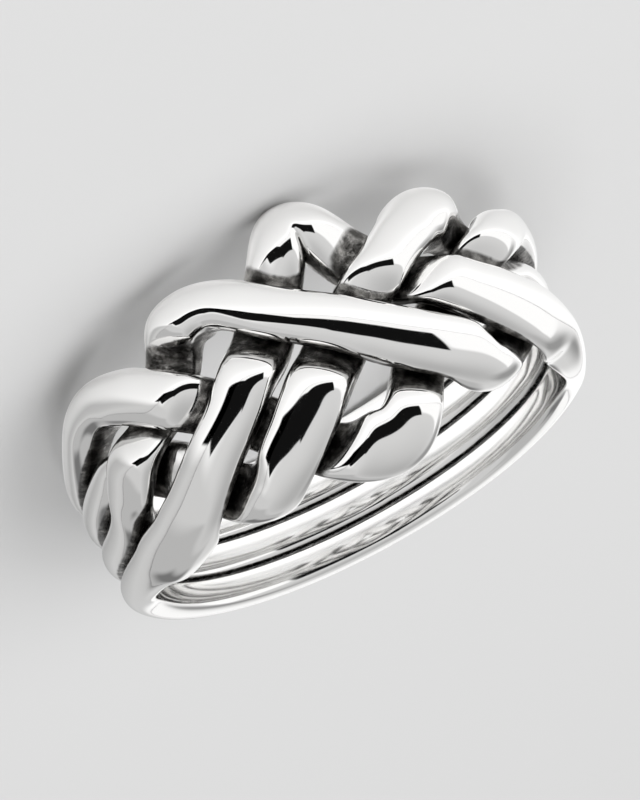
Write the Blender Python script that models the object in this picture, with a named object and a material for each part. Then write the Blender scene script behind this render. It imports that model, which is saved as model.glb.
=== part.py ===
"""Four-band puzzle ring lying on its side, in metres, +Z up.

Four closed bands lie side by side in the shank and are plaited with each other across the head.
The ring rests on the back edge of its shank and on the back bends of its head.
"""

import math

import bmesh
import bpy
import numpy as np
from mathutils import Matrix, Vector

# Driving dimensions.
INNER_RADIUS = 0.0099
SHANK_THICKNESS = 0.0014
SHANK_BAND_WIDTH = 0.00142
SHANK_GAP = 0.00016
STRAND_WIDTH = 0.0023
STRAND_SPACING = 0.00111
STRAND_THICKNESS = 0.00105
LAYER_GAP = 0.0003
WEAVE_ANGLE = math.radians(40.4)
NOTCH_RUN = 0.00062
NECK_CUT = 1.2
CROWN_RADIUS = 0.016
CROWN_PLACE = 0.001
CROWN_HEIGHT = 0.00012

# What follows from them.
UPPER_CLEARANCE = 1.2 * LAYER_GAP
HEAD_RADIUS = INNER_RADIUS + 2 * STRAND_THICKNESS + LAYER_GAP + CROWN_HEIGHT
MIDDLE_RADIUS = INNER_RADIUS + STRAND_THICKNESS + LAYER_GAP / 2
SHANK_RADIUS = INNER_RADIUS + SHANK_THICKNESS
STRAND_PITCH = STRAND_WIDTH + STRAND_SPACING
COLUMN_ARC = STRAND_PITCH / (2 * math.sin(WEAVE_ANGLE))
COLUMN_RISE = STRAND_PITCH / (2 * math.cos(WEAVE_ANGLE))
COLUMN_ANGLE = COLUMN_ARC / MIDDLE_RADIUS
SHANK_PITCH = SHANK_BAND_WIDTH + SHANK_GAP

# The run of each band across the head, one row for each place that matters.
# Step counts crossing columns from the head's middle, rise is the axial place in column rises
# (towards the back is positive) and width is a share of the strand's width.
PATH_COLUMNS = ("step", "rise", "width")
BAND_PATHS = {
    "front_band": (
        (-5.5, -1.60, 1.00),
        (-4.4, -1.62, 1.06),
        (-3.3, -1.48, 1.08),
        (-2.3, -0.86, 1.01),
        (-1.6, -0.33, 1.00),
        (-0.6, 0.90, 1.16),
        (-0.1, 1.66, 1.06),
        (0.3, 2.24, 1.02),
        (0.72, 2.00, 1.06),
        (1.1, 1.42, 1.20),
        (1.5, 0.90, 1.24),
        (2.4, 0.03, 1.12),
        (3.2, -0.48, 1.26),
        (4.0, -0.88, 1.32),
        (4.7, -1.16, 1.24),
        (5.5, -1.34, 1.10),
    ),
    "second_band": (
        (-5.5, -0.72, 0.80),
        (-4.9, -0.66, 0.90),
        (-4.1, -0.28, 1.05),
        (-3.5, 0.22, 1.05),
        (-2.9, 0.68, 0.98),
        (-2.45, 1.16, 1.12),
        (-1.92, 1.68, 1.06),
        (-1.2, 1.56, 0.92),
        (-0.5, 0.84, 0.95),
        (0.3, 0.10, 1.00),
        (1.1, -0.64, 1.12),
        (1.9, -1.18, 1.14),
        (2.5, -1.46, 1.07),
        (3.0, -1.28, 1.00),
        (3.8, -0.82, 0.95),
        (4.6, -0.36, 0.88),
        (5.5, -0.30, 0.75),
    ),
    "third_band": (
        (-5.5, 0.28, 0.80),
        (-4.7, 0.30, 0.90),
        (-4.0, 0.00, 1.00),
        (-3.2, -0.66, 1.12),
        (-2.5, -1.58, 1.10),
        (-1.95, -1.92, 1.04),
        (-1.5, -1.78, 1.04),
        (-0.75, -1.17, 1.14),
        (-0.2, -0.55, 1.16),
        (0.4, -0.01, 1.12),
        (1.28, 0.70, 0.94),
        (1.9, 1.20, 0.95),
        (2.5, 1.56, 1.14),
        (2.95, 1.56, 1.14),
        (3.5, 1.16, 0.90),
        (4.2, 0.50, 0.80),
        (5.5, 0.36, 0.70),
    ),
    "back_band": (
        (-5.5, 1.26, 0.86),
        (-4.3, 1.46, 0.90),
        (-3.7, 1.36, 0.96),
        (-3.0, 0.91, 1.02),
        (-2.0, -0.14, 1.06),
        (-1.35, -0.98, 1.05),
        (-0.9, -1.66, 1.00),
        (-0.4, -2.10, 1.10),
        (0.2, -2.26, 1.20),
        (0.7, -2.05, 1.10),
        (1.4, -1.06, 1.00),
        (2.5, -0.10, 1.00),
        (3.3, 0.52, 0.90),
        (4.0, 0.96, 0.92),
        (4.8, 1.30, 0.98),
        (5.5, 1.32, 1.00),
        (6.6, 1.06, 0.60),
    ),
}

# Which band lies over which, column by column from the left end of the head to the right.
# Before and after are how far the lower band's notch runs past the upper band's sides, as shares
# of the layer gap. Both bands' notches stay within reach, in steps, of where they cross.
CROSSING_COLUMNS = ("step", "upper", "lower", "before", "after", "reach")
CROSSINGS = (
    (-3.5, "second_band", "third_band", 1.4, 1.6, 0.90),
    (-2.5, "front_band", "third_band", 1.2, 1.4, 0.85),
    (-2.5, "back_band", "second_band", 1.8, 2.7, 0.85),
    (-1.5, "front_band", "back_band", 1.2, 1.2, 0.85),
    (-0.5, "third_band", "back_band", 1.2, 1.4, 0.85),
    (-0.5, "second_band", "front_band", 1.3, 1.2, 0.85),
    (0.5, "second_band", "third_band", 1.3, 1.7, 0.85),
    (1.5, "second_band", "back_band", 1.4, 1.2, 0.85),
    (1.5, "third_band", "front_band", 3.6, 0.9, 0.85),
    (2.5, "front_band", "back_band", 1.2, 2.2, 1.00),
    (3.5, "front_band", "second_band", 2.0, 1.2, 1.15),
    (3.5, "back_band", "third_band", 1.4, 1.2, 0.85),
)

# The head runs into the shank between these steps, counted as above.
HEAD_END = 4.0
SHANK_START = 8.0

# Past the last crossings each band is no wider than its neighbours leave room for.
LEFT_BESIDE = 4.2
RIGHT_BESIDE = 4.2
BESIDE_RUN = 0.6

# Steps between which each band's height falls from the head's to the shank's on either side.
FALL_COLUMNS = ("left_start", "left_end", "right_start", "right_end")
BAND_FALLS = {
    "front_band": (3.9, 6.6, 4.3, 6.4),
    "second_band": (3.4, 5.8, 2.8, 4.0),
    "third_band": (2.9, 4.8, 2.8, 4.0),
    "back_band": (3.6, 6.4, 3.6, 7.6),
}

# A notch fades out over this many steps past its reach.
NOTCH_FADE = 0.3
NOTCH_SOFTENING = 1

# Stations along a band: close together in the head and further apart round the shank.
HEAD_STATION_STEP = 0.125
SHANK_STATIONS = 28
SECTION_POINTS = 16
OUTER_FULLNESS = 2.1
INNER_FULLNESS = 4.0
SIDE_FLAT = 1.06

# Where a section is widest, as a share of its height, and how far a cut below or above moves that.
WIDEST_SHARE = 0.48
WIDEST_DROP = 0.22
WIDEST_LIFT = 0.1

# Length, in steps, over which a band's heading is taken, so that tight bends don't fold.
HEADING_RUN = 0.9

# A band's inner side at a bend keeps within this share of the bend's radius.
BEND_STEP = 0.125
BEND_SHARE = 0.8


def smooth(share):
    share = min(1.0, max(0.0, share))
    return share * share * (3 - 2 * share)


def read_curve(rows, column, place):
    """Value of a column at a place along the first column, as a smooth curve through its rows."""
    places = [row[0] for row in rows]
    values = [row[column] for row in rows]
    if place <= places[0]:
        return values[0]
    if place >= places[-1]:
        return values[-1]
    index = max(i for i, start in enumerate(places[:-1]) if start <= place)
    slopes = []
    for i in (index, index + 1):
        if i == 0 or i == len(places) - 1:
            slopes.append(0.0)
        else:
            slopes.append((values[i + 1] - values[i - 1]) / (places[i + 1] - places[i - 1]))
    span = places[index + 1] - places[index]
    t = (place - places[index]) / span
    return (
        values[index] * (2 * t**3 - 3 * t**2 + 1)
        + slopes[0] * span * (t**3 - 2 * t**2 + t)
        + values[index + 1] * (3 * t**2 - 2 * t**3)
        + slopes[1] * span * (t**3 - t**2)
    )


def shank_share(step):
    """0 in the head, 1 in the plain shank."""
    return smooth((abs(step) - HEAD_END) / (SHANK_START - HEAD_END))


def axial_place(band, step):
    rank = list(BAND_PATHS).index(band)
    in_shank = (rank - 1.5) * SHANK_PITCH
    in_head = read_curve(BAND_PATHS[band], 1, step) * COLUMN_RISE
    share = shank_share(step)
    return in_head * (1 - share) + in_shank * share


def heading(band, step):
    """Angle of the band's run from straight round the ring, towards the back."""
    reach = HEADING_RUN / 2
    rise = axial_place(band, step + reach) - axial_place(band, step - reach)
    return math.atan2(rise, HEADING_RUN * COLUMN_ARC)


def bend_radius(band, step):
    """Radius of a band's bend, positive where it bends towards the back."""
    turn = heading(band, step + BEND_STEP) - heading(band, step - BEND_STEP)
    rise = axial_place(band, step + BEND_STEP) - axial_place(band, step - BEND_STEP)
    run = math.hypot(2 * BEND_STEP * COLUMN_ARC, rise)
    return run / turn if abs(turn) > 0.001 else math.inf


def band_width(band, step):
    """Width from the table and, past the last crossings, no more than there is room for."""
    in_head = read_curve(BAND_PATHS[band], 2, step) * STRAND_WIDTH
    share = shank_share(step)
    width = in_head * (1 - share) + SHANK_BAND_WIDTH * share
    beside_start = LEFT_BESIDE if step < 0 else RIGHT_BESIDE
    beside = smooth((abs(step) - beside_start) / BESIDE_RUN)
    if beside == 0:
        return width
    place = axial_place(band, step)
    nearest = min(abs(axial_place(other, step) - place) for other in BAND_PATHS if other != band)
    room = (nearest - SHANK_GAP) * math.cos(heading(band, step))
    return width * (1 - beside) + min(width, room) * beside


def meeting_step(one, other, near):
    """Step near the given one where the middles of two bands cross."""
    low, high = near - 0.9, near + 0.9
    start = axial_place(one, low) - axial_place(other, low)
    for _ in range(40):
        middle = (low + high) / 2
        if (axial_place(one, middle) - axial_place(other, middle)) * start > 0:
            low = middle
        else:
            high = middle
    return (low + high) / 2


def middle_line(band):
    """Places along a band's middle, laid flat, as rows of (arc, axial place, half width)."""
    steps = np.arange(-SHANK_START, SHANK_START, HEAD_STATION_STEP / 2)
    return np.array([(s * COLUMN_ARC, axial_place(band, s), band_width(band, s) / 2) for s in steps])


def band_notches(band, lines):
    """For each crossing of a band: where it is, how far its notch reaches, whether the band is the
    lower one, the other's line and how far the notch runs past the other's sides."""
    notches = []
    for step, upper, lower, before, after, reach in CROSSINGS:
        middle = meeting_step(upper, lower, step)
        if band == upper:
            notches.append((middle, reach, False, lines[lower], UPPER_CLEARANCE, UPPER_CLEARANCE))
        elif band == lower:
            notches.append((middle, reach, True, lines[upper], before * LAYER_GAP, after * LAYER_GAP))
    return notches


def notch_shares(notches, step, place):
    """How far a place on a band is cut from above and from below, each from 0 to 1."""
    above = below = 0.0
    for middle, reach, is_lower, line, before, after in notches:
        near = 1 - smooth((abs(step - middle) - reach) / NOTCH_FADE)
        if near == 0:
            continue
        away = np.hypot(line[:, 0] - step * COLUMN_ARC, line[:, 1] - place) - line[:, 2]
        clearance = before + (after - before) * smooth((step - middle) / NOTCH_FADE + 0.5)
        share = near * (1 - smooth((away.min() - clearance) / NOTCH_RUN))
        if is_lower:
            above = max(above, share)
        else:
            below = max(below, share)
    both = max(1.0, (above + below) / NECK_CUT)
    return above / both, below / both


def station_steps():
    """Steps of all stations, once round the ring."""
    turn = 2 * math.pi / COLUMN_ANGLE
    inner = np.arange(-SHANK_START, SHANK_START, HEAD_STATION_STEP)
    fine = [s for s in inner if abs(s) < HEAD_END + 1 or round(s / HEAD_STATION_STEP) % 3 == 0]
    plain = np.linspace(SHANK_START, turn - SHANK_START, SHANK_STATIONS + 1)[:-1]
    return list(fine) + list(plain)


def section():
    """Points of a section as shares of its half width and half height, with a domed outside."""
    points = []
    for i in range(SECTION_POINTS):
        angle = 2 * math.pi * (i + 0.5) / SECTION_POINTS
        fullness = OUTER_FULLNESS if math.sin(angle) > 0 else INNER_FULLNESS
        across = min(1.0, abs(math.cos(angle)) ** (2 / fullness) * SIDE_FLAT)
        up = abs(math.sin(angle)) ** (2 / fullness)
        points.append((math.copysign(across, math.cos(angle)), math.copysign(up, math.sin(angle))))
    return points


def section_spots(band, near):
    """Places of one station's points, as (step, axial place, share of the half height)."""
    lean = heading(band, near)
    half_width = band_width(band, near) / 2
    bend = bend_radius(band, near)
    inner_width = min(half_width, BEND_SHARE * abs(bend))
    spots = []
    for across, up in section():
        reach = across * (inner_width if across * bend > 0 else half_width)
        along = near - reach * math.sin(lean) / COLUMN_ARC
        place = axial_place(band, near) + reach * math.cos(lean)
        spots.append((along, place, up))
    return spots


def band_rings(band, lines):
    """Rows of points, one row for each station, in the ring's own frame."""
    notches = band_notches(band, lines)
    turn = 2 * math.pi / COLUMN_ANGLE
    nears = [step if step <= turn / 2 else step - turn for step in station_steps()]
    rows = [section_spots(band, near) for near in nears]
    shares = np.array([[notch_shares(notches, along, place) for along, place, _ in row] for row in rows])
    for _ in range(NOTCH_SOFTENING):
        shares = (np.roll(shares, 1, axis=0) + 2 * shares + np.roll(shares, -1, axis=0)) / 4
    rings = []
    for near, row, cuts in zip(nears, rows, shares):
        fall_start, fall_end = BAND_FALLS[band][:2] if near < 0 else BAND_FALLS[band][2:]
        drop = smooth((abs(near) - fall_start) / (fall_end - fall_start))
        top = HEAD_RADIUS * (1 - drop) + SHANK_RADIUS * drop
        ring = []
        for (along, place, up), (above, below) in zip(row, cuts):
            sag = (place - CROWN_PLACE) ** 2 / (2 * CROWN_RADIUS) * (1 - shank_share(near))
            middle = MIDDLE_RADIUS - sag / 2
            high = top - sag
            high -= above * (high - middle + LAYER_GAP / 2)
            low = INNER_RADIUS + below * (middle + LAYER_GAP / 2 - INNER_RADIUS)
            widest = low + (high - low) * (WIDEST_SHARE - WIDEST_DROP * below + WIDEST_LIFT * above)
            radius = widest + up * ((high - widest) if up > 0 else (widest - low))
            ring.append((radius, along * COLUMN_ANGLE, place))
        rings.append(ring)
    return rings


def make_material(name, shade):
    material = bpy.data.materials.new(name)
    material.use_nodes = True
    shader = material.node_tree.nodes["Principled BSDF"]
    shader.inputs["Base Color"].default_value = (shade, shade, shade, 1)
    shader.inputs["Metallic"].default_value = 1.0
    shader.inputs["Roughness"].default_value = 0.12
    material.diffuse_color = (shade, shade, shade, 1)
    return material


def loft_band(band, lines):
    """Closed loft through the band's sections, first row joined to last."""
    mesh = bmesh.new()
    rows = []
    for ring in band_rings(band, lines):
        row = []
        for radius, angle, place in ring:
            x = -radius * math.sin(angle)
            y = -radius * math.cos(angle)
            row.append(mesh.verts.new((x, y, -place)))
        rows.append(row)
    for row, following in zip(rows, rows[1:] + rows[:1]):
        for i in range(SECTION_POINTS):
            j = (i + 1) % SECTION_POINTS
            mesh.faces.new((row[i], row[j], following[j], following[i]))
    bmesh.ops.recalc_face_normals(mesh, faces=mesh.faces[:])
    return mesh


def mass_centre(meshes):
    total = 0.0
    moment = Vector((0, 0, 0))
    for mesh in meshes:
        for face in mesh.faces:
            first = face.verts[0].co
            for one, other in zip(face.verts[1:], face.verts[2:]):
                volume = first.dot(one.co.cross(other.co)) / 6
                total += volume
                moment += volume * (first + one.co + other.co) / 4
    return moment / total


def rest_pose(meshes):
    """Turn and shift that set the ring down on the three places under its centre of mass."""
    hull = bmesh.new()
    for mesh in meshes:
        for vert in mesh.verts:
            hull.verts.new(vert.co)
    made = bmesh.ops.convex_hull(hull, input=hull.verts[:])
    spare = {v for v in made["geom_interior"] + made["geom_unused"] if isinstance(v, bmesh.types.BMVert)}
    bmesh.ops.delete(hull, geom=list(spare), context="VERTS")
    bmesh.ops.recalc_face_normals(hull, faces=hull.faces[:])
    centre = mass_centre(meshes)
    down = Vector((0, 0, -1))
    for face in hull.faces:
        drop = (face.verts[0].co - centre).dot(face.normal)
        foot = centre + face.normal * drop
        sides = []
        for loop in face.loops:
            edge = loop.link_loop_next.vert.co - loop.vert.co
            sides.append(edge.cross(foot - loop.vert.co).dot(face.normal))
        if face.normal.z < -0.9 and min(sides) >= 0:
            down = face.normal.copy()
    turn = down.rotation_difference(Vector((0, 0, -1))).to_matrix().to_4x4()
    places = np.array([turn @ vert.co for vert in hull.verts])
    hull.free()
    low, high = places.min(axis=0), places.max(axis=0)
    return Matrix.Translation((-(low[0] + high[0]) / 2, -(low[1] + high[1]) / 2, -low[2])) @ turn


def main():
    for old in list(bpy.data.objects):
        bpy.data.objects.remove(old, do_unlink=True)
    collection = bpy.data.collections.new("puzzle_ring")
    bpy.context.scene.collection.children.link(collection)
    lines = {band: middle_line(band) for band in BAND_PATHS}
    meshes = {band: loft_band(band, lines) for band in BAND_PATHS}
    rest = rest_pose(list(meshes.values()))
    for rank, (band, mesh) in enumerate(meshes.items()):
        mesh.transform(rest)
        data = bpy.data.meshes.new(band)
        mesh.to_mesh(data)
        mesh.free()
        data.shade_smooth()
        data.materials.append(make_material(band + "_silver", 0.92 - 0.02 * rank))
        collection.objects.link(bpy.data.objects.new(band, data))


main()
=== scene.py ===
import math

import bpy
from mathutils import Euler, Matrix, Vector
from mathutils.bvhtree import BVHTree


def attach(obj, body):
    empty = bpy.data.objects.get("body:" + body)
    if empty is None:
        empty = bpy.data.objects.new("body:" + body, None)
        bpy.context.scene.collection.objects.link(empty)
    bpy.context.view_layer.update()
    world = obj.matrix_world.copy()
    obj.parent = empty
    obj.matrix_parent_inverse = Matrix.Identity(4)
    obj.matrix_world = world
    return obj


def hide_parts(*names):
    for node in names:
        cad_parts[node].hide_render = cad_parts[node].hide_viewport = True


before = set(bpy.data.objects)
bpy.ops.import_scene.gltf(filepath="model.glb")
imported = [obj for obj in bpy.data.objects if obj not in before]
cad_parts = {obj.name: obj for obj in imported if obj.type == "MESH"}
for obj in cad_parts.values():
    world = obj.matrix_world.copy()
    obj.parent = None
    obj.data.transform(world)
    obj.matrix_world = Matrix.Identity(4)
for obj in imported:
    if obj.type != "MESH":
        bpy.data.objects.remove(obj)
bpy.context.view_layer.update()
print("frame loaded, nodes:", ", ".join(sorted(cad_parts)))

# The ring is seen from in front and a little above, with the picture turned so that the band
# that lies uppermost here runs along the bottom of the picture.
photoView = {
    "location": (0.030856, -0.196108, 0.098425),
    "turn": (-60.773259, -28.04724, 174.236477),
    "lens": 285.99,
    "sensorWidth": 36,
    "clip": (0.01, 20),
}


def addCamera(view):
    data = bpy.data.cameras.new("photoCamera")
    data.lens = view["lens"]
    data.sensor_fit = "HORIZONTAL"
    data.sensor_width = view["sensorWidth"]
    data.clip_start, data.clip_end = view["clip"]
    camera = bpy.data.objects.new("photoCamera", data)
    bpy.context.scene.collection.objects.link(camera)
    camera.location = view["location"]
    camera.rotation_euler = Euler([math.radians(angle) for angle in view["turn"]])
    bpy.context.scene.camera = camera


addCamera(photoView)
print("camera set")


def clearSelection():
    if bpy.context.object and bpy.context.object.mode != "OBJECT":
        bpy.ops.object.mode_set(mode="OBJECT")
    bpy.ops.object.select_all(action="DESELECT")


def makeActive(obj):
    clearSelection()
    obj.select_set(True)
    bpy.context.view_layer.objects.active = obj


def addNode(tree, kind, place, **settings):
    node = tree.nodes.new(kind)
    node.location = place
    for name, value in settings.items():
        setattr(node, name, value)
    return node


def addMath(tree, operation, place, *values):
    node = addNode(tree, "ShaderNodeMath", place, operation=operation)
    for socket, value in zip(node.inputs, values):
        if isinstance(value, (int, float)):
            socket.default_value = value
        else:
            tree.links.new(value, socket)
    return node.outputs["Value"]


def addRamp(tree, place, value, low, high, start=0.0, end=1.0, smooth=True):
    node = addNode(tree, "ShaderNodeMapRange", place)
    node.interpolation_type = "SMOOTHSTEP" if smooth else "LINEAR"
    node.inputs["From Min"].default_value = low
    node.inputs["From Max"].default_value = high
    node.inputs["To Min"].default_value = start
    node.inputs["To Max"].default_value = end
    tree.links.new(value, node.inputs["Value"])
    return node.outputs["Result"]


def addNoise(tree, place, vector, scale, detail):
    node = addNode(tree, "ShaderNodeTexNoise", place)
    node.inputs["Scale"].default_value = scale
    node.inputs["Detail"].default_value = detail
    tree.links.new(vector, node.inputs["Vector"])
    return node.outputs["Fac"]


# Polished silver on what a wheel reaches, and dark tarnish with painted shade left in the gaps
# between the bands.
# Each grain is the scale and the detail of a pattern.
silver = {
    "colour": (0.95, 0.945, 0.935, 1),
    "dullColour": (0.42, 0.41, 0.395, 1),
    # the darkest colour, of tarnish and of painted shade in the gaps between the bands
    "tarnishAndShade": (0.085, 0.082, 0.078, 1),
    "patternStep": 0.01,  # how far apart the patterns of two bands are taken
    "tarnishAndShadeBelow": 0.36,  # openness at which the metal is all tarnished and darkened with painted shade
    "cleanUnshadedAbove": 0.60,  # and at which it is all clean and free of painted shade
    "mottle": 0.11,
    "mottleGrain": (1900, 2.5),
    "thinTarnishAndShade": (0.40, 0.72),  # where in the mottle the tarnish and painted shade thin from black to grey
    "shadeUneven": 0.42,
    "shadeUnevenGrain": (420, 2),
    "gloss": 0.045,
    "glossRange": (0.6, 1.6),
    "markLevels": (0.3, 0.8),
    "markGrain": (2600, 3),
    "insideGloss": 0.06,
    "tarnishGloss": 0.20,
    "ripple": 0.025,
    "rippleHeight": 0.0002,
    "rippleGrain": (420, 1),
    "pitting": 0.5,
    "pitDepth": 0.00006,
    "pitGrain": (5200, 4),
    "pitsEnd": 0.8,  # share of clean, unshaded metal at which the last pits are gone
}


def makeSilver(name, look, band):
    material = bpy.data.materials.new(name)
    material.use_nodes = True
    tree = material.node_tree
    shader = tree.nodes["Principled BSDF"]
    shader.inputs["Metallic"].default_value = 1.0

    place = addNode(tree, "ShaderNodeTexCoord", (-1900, 0)).outputs["Object"]
    shift = addNode(tree, "ShaderNodeMapping", (-1700, 0))
    shift.inputs["Location"].default_value = (look["patternStep"] * band["seed"], 0, 0)
    tree.links.new(place, shift.inputs["Vector"])
    spot = shift.outputs["Vector"]

    openness = addNode(tree, "ShaderNodeAttribute", (-1500, 300), attribute_name="openness")
    mottle = addNoise(tree, (-1500, 0), spot, *look["mottleGrain"])
    uneven = addMath(tree, "SUBTRACT", (-1300, 0), mottle, 0.5)
    uneven = addMath(tree, "MULTIPLY", (-1150, 0), uneven, look["mottle"])
    reach = addMath(tree, "ADD", (-1000, 200), openness.outputs["Fac"], uneven)
    # The metal that faces into the bore is darkened with painted shade, unevenly.
    facing = addNode(tree, "ShaderNodeAttribute", (-1500, 600), attribute_name="inside")
    inside = facing.outputs["Fac"]
    shadeUneven = addNoise(tree, (-1500, 800), spot, *look["shadeUnevenGrain"])
    shadeUneven = addMath(tree, "SUBTRACT", (-1300, 950), shadeUneven, 0.5)
    shadeUneven = addMath(tree, "MULTIPLY", (-1300, 800), shadeUneven, look["shadeUneven"])
    boreShade = addMath(tree, "ADD", (-1150, 700), shadeUneven, band["insideShade"])
    boreShade = addMath(tree, "MULTIPLY", (-1000, 600), boreShade, inside)
    reach = addMath(tree, "SUBTRACT", (-900, 400), reach, boreShade)
    # Where the openness is low the colour darkens: tarnish and painted shade in the gaps.
    cleanUnshaded = addRamp(tree, (-800, 200), reach, look["tarnishAndShadeBelow"], look["cleanUnshadedAbove"])

    # The tarnish and painted shade run from black to a dull grey where they are thin.
    thin = addRamp(tree, (-800, -100), mottle, *look["thinTarnishAndShade"])
    stainAndShade = addNode(tree, "ShaderNodeMix", (-550, -100), data_type="RGBA")
    stainAndShade.inputs["A"].default_value = look["tarnishAndShade"]
    stainAndShade.inputs["B"].default_value = look["dullColour"]
    tree.links.new(thin, stainAndShade.inputs["Factor"])
    colour = addNode(tree, "ShaderNodeMix", (-350, 100), data_type="RGBA")
    tree.links.new(cleanUnshaded, colour.inputs["Factor"])
    tree.links.new(stainAndShade.outputs["Result"], colour.inputs["A"])
    colour.inputs["B"].default_value = look["colour"]
    tree.links.new(colour.outputs["Result"], shader.inputs["Base Color"])

    # Fine polishing marks under the mirror finish, and a matt surface where the tarnish is.
    marks = addNoise(tree, (-1500, -400), spot, *look["markGrain"])
    finest, dullest = [look["gloss"] * share for share in look["glossRange"]]
    polished = addRamp(
        tree, (-1100, -400), marks, *look["markLevels"], finest, dullest, smooth=False
    )
    matt = addRamp(tree, (-550, -350), cleanUnshaded, 0, 1, look["tarnishGloss"], 0, smooth=False)
    satin = addMath(tree, "MULTIPLY", (-600, -550), inside, look["insideGloss"])
    rough = addMath(tree, "ADD", (-450, -300), polished, matt)
    rough = addMath(tree, "ADD", (-300, -300), rough, satin)
    tree.links.new(rough, shader.inputs["Roughness"])

    # Hand polishing leaves a slight ripple; the gaps keep the pits of the casting.
    ripple = addNoise(tree, (-1500, -700), spot, *look["rippleGrain"])
    wave = addNode(tree, "ShaderNodeBump", (-550, -650))
    wave.inputs["Strength"].default_value = look["ripple"]
    wave.inputs["Distance"].default_value = look["rippleHeight"]
    tree.links.new(ripple, wave.inputs["Height"])
    pits = addNoise(tree, (-1500, -950), spot, *look["pitGrain"])
    depth = addRamp(
        tree, (-800, -850), cleanUnshaded, 0, look["pitsEnd"], look["pitting"], 0, smooth=False
    )
    pitting = addNode(tree, "ShaderNodeBump", (-350, -650))
    pitting.inputs["Distance"].default_value = look["pitDepth"]
    tree.links.new(depth, pitting.inputs["Strength"])
    tree.links.new(pits, pitting.inputs["Height"])
    tree.links.new(wave.outputs["Normal"], pitting.inputs["Normal"])
    tree.links.new(pitting.outputs["Normal"], shader.inputs["Normal"])
    return material


# Each eased spot is a place, how far the easing reaches from it, and how often it is repeated.
bands = {
    "frontBand": {
        "node": "front_band",
        "swell": 0.00004,
        "insideShade": 0.16,
        "easedSpots": (
            ((-0.0093, -0.0036, 0.0090), 0.0032, 12),
            ((-0.0011, -0.0119, 0.0019), 0.0026, 40),
        ),
        "seed": 0,
    },
    "secondBand": {
        "node": "second_band",
        "swell": 0.00004,
        "insideShade": 0.05,
        "easedSpots": (((0.0108, -0.0030, 0.0060), 0.0030, 10),),
        "seed": 1,
    },
    "thirdBand": {
        "node": "third_band",
        "swell": 0.00004,
        "insideShade": 0.0,
        "easedSpots": (((0.0048, -0.0097, 0.0092), 0.0016, 8),),
        "seed": 2,
    },
    "backBand": {
        "node": "back_band",
        "swell": 0.00004,
        "insideShade": 0.0,
        "easedSpots": (),
        "seed": 3,
    },
}
# Polishing takes off small kinks all over and leaves the thickness, so each smoothing is followed
# by one that pushes back.
easing = {"allOver": ((0, 0, 0), 1, 5), "smooth": 0.5, "back": -0.53}
meshing = {"mergeWithin": 0.000002, "roundings": 1}


def roundOff(piece):
    makeActive(piece)
    rounding = piece.modifiers.new("rounding", "SUBSURF")
    rounding.levels = meshing["roundings"]
    rounding.render_levels = meshing["roundings"]
    bpy.ops.object.modifier_apply(modifier=rounding.name)


def easeSpot(piece, place, reach, repeats):
    bpy.ops.object.mode_set(mode="EDIT")
    bpy.ops.mesh.select_all(action="DESELECT")
    bpy.ops.object.mode_set(mode="OBJECT")
    for vertex in piece.data.vertices:
        vertex.select = (vertex.co - Vector(place)).length < reach
    bpy.ops.object.mode_set(mode="EDIT")
    for _ in range(repeats):
        bpy.ops.mesh.vertices_smooth(factor=easing["smooth"])
        bpy.ops.mesh.vertices_smooth(factor=easing["back"])
    bpy.ops.object.mode_set(mode="OBJECT")


def copyBand(name, band):
    clearSelection()
    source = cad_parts[band["node"]]
    source.select_set(True)
    bpy.context.view_layer.objects.active = source
    bpy.ops.object.duplicate(linked=False)
    piece = bpy.context.object
    piece.name = name
    makeActive(piece)
    bpy.ops.object.mode_set(mode="EDIT")
    bpy.ops.mesh.select_all(action="SELECT")
    bpy.ops.mesh.remove_doubles(threshold=meshing["mergeWithin"])
    bpy.ops.mesh.tris_convert_to_quads(face_threshold=math.pi, shape_threshold=math.pi)
    bpy.ops.mesh.normals_make_consistent(inside=False)
    bpy.ops.transform.shrink_fatten(value=band["swell"])
    bpy.ops.object.mode_set(mode="OBJECT")
    for spot in (easing["allOver"], *band["easedSpots"]):
        easeSpot(piece, *spot)
    roundOff(piece)
    return piece


polishAndShade = {"ball": 0.0013, "highPlaces": (0.0113, 0.0120), "highRub": 0.6}
# The ring's own axis leans in the resting ring.
ringAxis = {
    "centre": Vector((0.0001426, 0.0005098, 0.0046191)),
    "along": Vector((0.01953, 0.14545, 0.98917)),
}


def spokeTo(place, axis):
    spoke = place - axis["centre"]
    return spoke - axis["along"] * spoke.dot(axis["along"])


def storeValues(piece, name, values):
    attribute = piece.data.attributes.new(name, "FLOAT", "POINT")
    attribute.data.foreach_set("value", values)


# A polishing wheel is like a ball rolled over the ring: where the ball touches some other place
# before it reaches the metal, the metal stays dull, and there the colour is darkened as tarnish
# and as painted shade of the gaps. 1 is fully reached and 0 not at all. Places that stand high on
# the ring are rubbed clean anyway.
def markOpenness(pieces, wheel, axis):
    points, faces = [], []
    for piece in pieces:
        first = len(points)
        points += [vertex.co.copy() for vertex in piece.data.vertices]
        faces += [[first + index for index in face.vertices] for face in piece.data.polygons]
    tree = BVHTree.FromPolygons(points, faces)
    low, high = wheel["highPlaces"]
    for piece in pieces:
        values = []
        for vertex in piece.data.vertices:
            centre = vertex.co + vertex.normal * wheel["ball"]
            reach = tree.find_nearest(centre)[3] / wheel["ball"]
            height = spokeTo(vertex.co, axis).length
            share = min(1.0, max(0.0, (height - low) / (high - low)))
            values.append(min(1.0, reach + share * wheel["highRub"]))
        storeValues(piece, "openness", values)


# How squarely each place faces the finger, so that painted shade can make the inside less bright
# than the outside.
def markInside(piece, axis):
    values = []
    for vertex in piece.data.vertices:
        spoke = spokeTo(vertex.co, axis)
        values.append(max(0.0, -vertex.normal.dot(spoke.normalized())))
    storeValues(piece, "inside", values)


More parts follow.
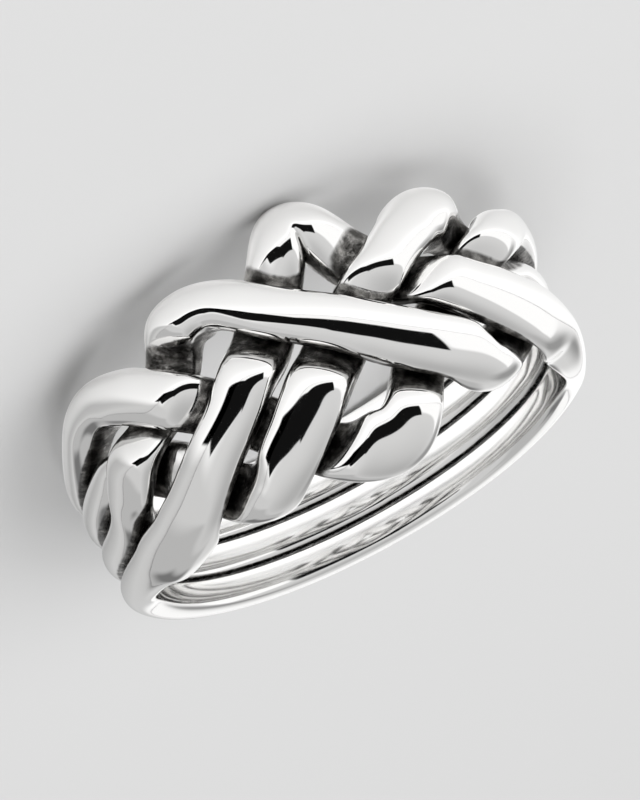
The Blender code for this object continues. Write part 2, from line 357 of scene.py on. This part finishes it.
pieces = {name: copyBand(name, band) for name, band in bands.items()}
print("bands copied")
markOpenness(list(pieces.values()), polishAndShade, ringAxis)
for piece in pieces.values():
    markInside(piece, ringAxis)
print("openness and inside marked")
for name, band in bands.items():
    piece = pieces[name]
    roundOff(piece)
    bpy.ops.object.shade_smooth()
    piece.data.materials.clear()
    piece.data.materials.append(makeSilver(name + "Silver", silver, band))
    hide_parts(band["node"])
    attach(piece, "root")
    print(name, "triangles", sum(len(face.vertices) - 2 for face in piece.data.polygons))
print("bands made")

# Sides and heights are in degrees, and each "away" is in metres from the middle of the ring.
front = -81.02  # the side of the ring that faces the camera
paperFloor = {
    "size": 3.0,
    "tone": 0.78,
    "nearShadowShare": 0.80,  # of that tone, close round the ring, as a painted shadow
    "nearShadowAway": (0.012, 0.040),
    # painted light on the floor inside the ring, where shade would fall
    "holeLightTone": 0.95,
    "holeLightAway": (0.0105, 0.0125),
    "seenTone": 0.52,  # what the camera itself sees
    "greyShare": 0.55,
    "greySides": (50, 165),
    "greyAway": (0.012, 0.017),
    "greySoft": 7,
    "darkSides": (2, 46),
    "darkEdge": (7, -22),
    "darkSoft": 1,
    "darkTop": -10,
    "horizon": 5,
    "viewHeight": 0.007,  # of the metal from which the dark part's edge is reckoned
    "roughness": 0.9,
}
sky = {
    "horizon": 1.0,
    "middle": 0.68,
    "top": 0.45,
    "heights": (6, 30, 85),
    "seenTone": (0.9, 0.9, 0.9, 1),
}
# Cards and cloths stand far round the ring. Their sides are in degrees round from straight in
# front, and their lower and upper edges, each from its left end to its right end, in degrees of
# height. Soft is half of the width in degrees over which an edge fades.
cards = {
    "leftPaper": {
        "sides": (-118, -58), "lower": (-5, -5), "upper": (36, 24), "soft": 3, "tone": 1.05,
    },
    "rightCard": {
        "sides": (48, 165), "lower": (-6, -6), "upper": (50, 50), "soft": 7, "tone": 0.62,
    },
    "sideCard": {
        "sides": (80, 165), "lower": (-6, -6), "upper": (50, 50), "soft": 6, "tone": 0.48,
    },
    "farCloth": {
        "sides": (124, 165), "lower": (4, 4), "upper": (26, 26), "soft": 6, "tone": 0.18,
    },
    "leftCloth": {
        "sides": (-165, -125), "lower": (8, 8), "upper": (60, 60), "soft": 14, "tone": 0.32,
    },
    "frontCloth": {
        "sides": (-57, 8), "lower": (7, 7), "upper": (29, 32), "soft": 0.8, "tone": 0.006,
    },
    "cornerCloth": {
        "sides": (2, 44), "lower": (7, -22), "upper": (32, 14), "soft": 0.8, "tone": 0.006,
    },
}


# 1 between two edges of a card and 0 outside, where each edge may slope from side to side.
def addSpan(tree, place, value, edges, soft):
    inside = []
    for row, (edge, sign) in enumerate(zip(edges, (1, -1))):
        past = addMath(tree, "SUBTRACT", (place[0], place[1] - 150 * row), value, edge)
        past = addMath(tree, "MULTIPLY", (place[0] + 150, place[1] - 150 * row), past, sign)
        inside.append(addRamp(tree, (place[0] + 300, place[1] - 150 * row), past, -soft, soft))
    return addMath(tree, "MULTIPLY", (place[0] + 450, place[1]), *inside)


def addFloor(look):
    clearSelection()
    bpy.ops.mesh.primitive_plane_add(size=look["size"], location=(0, 0, 0))
    floor = bpy.context.object
    floor.name = "floor"
    material = bpy.data.materials.new("floorPaper")
    material.use_nodes = True
    tree = material.node_tree
    shader = tree.nodes["Principled BSDF"]
    place = addNode(tree, "ShaderNodeTexCoord", (-2600, 0)).outputs["Object"]
    parts = addNode(tree, "ShaderNodeSeparateXYZ", (-2400, 200))
    tree.links.new(place, parts.inputs["Vector"])
    side = addMath(tree, "ARCTAN2", (-2200, 200), parts.outputs["Y"], parts.outputs["X"])
    side = addMath(tree, "DEGREES", (-2050, 200), side)
    side = addMath(tree, "SUBTRACT", (-1900, 200), side, front)
    away = addNode(tree, "ShaderNodeVectorMath", (-2400, -200), operation="LENGTH")
    tree.links.new(place, away.inputs["Vector"])
    distance = away.outputs["Value"]

    # The metal mirrors paper that is whiter further off and inside the ring: a painted shadow lies
    # close round the ring and painted light inside it.
    nearShadowTone = look["tone"] * look["nearShadowShare"]
    tone = addRamp(tree, (-1600, -200), distance, *look["nearShadowAway"], nearShadowTone, look["tone"])
    outside = addRamp(tree, (-1600, -450), distance, *look["holeLightAway"])
    holeLight = addNode(tree, "ShaderNodeMix", (-1400, -200), data_type="FLOAT")
    tree.links.new(outside, holeLight.inputs["Factor"])
    holeLight.inputs["A"].default_value = look["holeLightTone"]
    tree.links.new(tone, holeLight.inputs["B"])
    tone = holeLight.outputs["Result"]

    # A greyer part lies at the right.
    grey = addMath(
        tree, "MULTIPLY", (-1000, 600),
        addSpan(tree, (-1700, 700), side, look["greySides"], look["greySoft"]),
        addRamp(tree, (-1300, 900), distance, *look["greyAway"], 0, 1 - look["greyShare"]),
    )
    light = addMath(tree, "SUBTRACT", (-850, 600), 1, grey)
    tone = addMath(tree, "MULTIPLY", (-700, 600), tone, light)

    # The corner cloth comes down on the floor at the front right, with a sloping edge.
    steepness = addMath(tree, "DIVIDE", (-2000, -400), look["viewHeight"], distance)
    drop = addMath(tree, "ARCTANGENT", (-1850, -400), steepness)
    drop = addMath(tree, "DEGREES", (-1700, -400), drop)
    height = addMath(tree, "MULTIPLY", (-1550, -400), drop, -1)
    left, right = look["darkSides"]
    edge = addRamp(tree, (-1700, -700), side, left, right, *look["darkEdge"], smooth=False)
    edge = addMath(tree, "MAXIMUM", (-1500, -700), edge, look["darkTop"])
    across = addSpan(tree, (-1700, 300), side, look["darkSides"], look["darkSoft"])
    upward = addSpan(tree, (-1300, -400), height, (edge, look["horizon"]), look["darkSoft"])
    cover = addMath(tree, "MULTIPLY", (-1000, 0), across, upward)
    bright = addMath(tree, "SUBTRACT", (-850, 0), 1, cover)
    tone = addMath(tree, "MULTIPLY", (-700, 0), tone, bright)

    # The picture itself shows plain paper.
    path = addNode(tree, "ShaderNodeLightPath", (-700, 300))
    seen = addNode(tree, "ShaderNodeMix", (-400, 0), data_type="FLOAT")
    tree.links.new(path.outputs["Is Camera Ray"], seen.inputs["Factor"])
    tree.links.new(tone, seen.inputs["A"])
    seen.inputs["B"].default_value = look["seenTone"]
    tree.links.new(seen.outputs["Result"], shader.inputs["Base Color"])
    shader.inputs["Roughness"].default_value = look["roughness"]
    shader.inputs["Specular IOR Level"].default_value = 0.0
    floor.data.materials.append(material)


def addSky(look, cards):
    world = bpy.data.worlds.new("studio")
    bpy.context.scene.world = world
    world.use_nodes = True
    tree = world.node_tree
    background = tree.nodes["Background"]
    place = addNode(tree, "ShaderNodeTexCoord", (-3000, 0)).outputs["Generated"]
    turned = addNode(tree, "ShaderNodeVectorRotate", (-2800, 0), rotation_type="Z_AXIS")
    turned.inputs["Angle"].default_value = -math.radians(front)
    tree.links.new(place, turned.inputs["Vector"])
    parts = addNode(tree, "ShaderNodeSeparateXYZ", (-2600, 0))
    tree.links.new(turned.outputs["Vector"], parts.inputs["Vector"])
    side = addMath(tree, "ARCTAN2", (-2400, 100), parts.outputs["Y"], parts.outputs["X"])
    side = addMath(tree, "DEGREES", (-2250, 100), side)
    height = addMath(tree, "ARCSINE", (-2400, -100), parts.outputs["Z"])
    height = addMath(tree, "DEGREES", (-2250, -100), height)
    start, middle, end = look["heights"]
    low = addRamp(tree, (-2000, 200), height, start, middle, look["horizon"], look["middle"])
    high = addRamp(tree, (-2000, 0), height, middle, end, 1, look["top"] / look["middle"])
    tone = addMath(tree, "MULTIPLY", (-1800, 100), low, high)
    for row, card in enumerate(cards.values()):
        top = -300 - 800 * row
        left, right = card["sides"]
        lower = addRamp(tree, (-2000, top), side, left, right, *card["lower"], smooth=False)
        upper = addRamp(tree, (-2000, top - 200), side, left, right, *card["upper"], smooth=False)
        across = addSpan(tree, (-1700, top), side, card["sides"], card["soft"])
        upward = addSpan(tree, (-1700, top - 350), height, (lower, upper), card["soft"])
        cover = addMath(tree, "MULTIPLY", (-1000, top), across, upward)
        layer = addNode(tree, "ShaderNodeMix", (-800, top), data_type="FLOAT")
        layer.inputs["B"].default_value = card["tone"]
        tree.links.new(cover, layer.inputs["Factor"])
        tree.links.new(tone, layer.inputs["A"])
        tone = layer.outputs["Result"]
    seen = addNode(tree, "ShaderNodeMix", (-300, 0), data_type="RGBA")
    path = addNode(tree, "ShaderNodeLightPath", (-500, 300))
    tree.links.new(path.outputs["Is Camera Ray"], seen.inputs["Factor"])
    tree.links.new(tone, seen.inputs["A"])
    seen.inputs["B"].default_value = look["seenTone"]
    tree.links.new(seen.outputs["Result"], background.inputs["Color"])


softboxes = {
    "leftBox": {"place": (-0.30, -0.35, 0.40), "size": (0.40, 0.40), "power": 1.7},
    "overheadBox": {"place": (0.0, 0.0, 0.45), "size": (0.55, 0.55), "power": 1.9},
}


def addSoftbox(name, box):
    data = bpy.data.lights.new(name, "AREA")
    data.shape = "RECTANGLE"
    data.size, data.size_y = box["size"]
    data.energy = box["power"]
    light = bpy.data.objects.new(name, data)
    bpy.context.scene.collection.objects.link(light)
    light.location = box["place"]
    light.rotation_euler = (-Vector(box["place"])).to_track_quat("-Z", "Y").to_euler()
    light.visible_glossy = False  # the metal mirrors the sky and the cards instead


addFloor(paperFloor)
addSky(sky, cards)
for name, box in softboxes.items():
    addSoftbox(name, box)
bpy.context.scene.view_settings.view_transform = "Standard"
print("studio set")
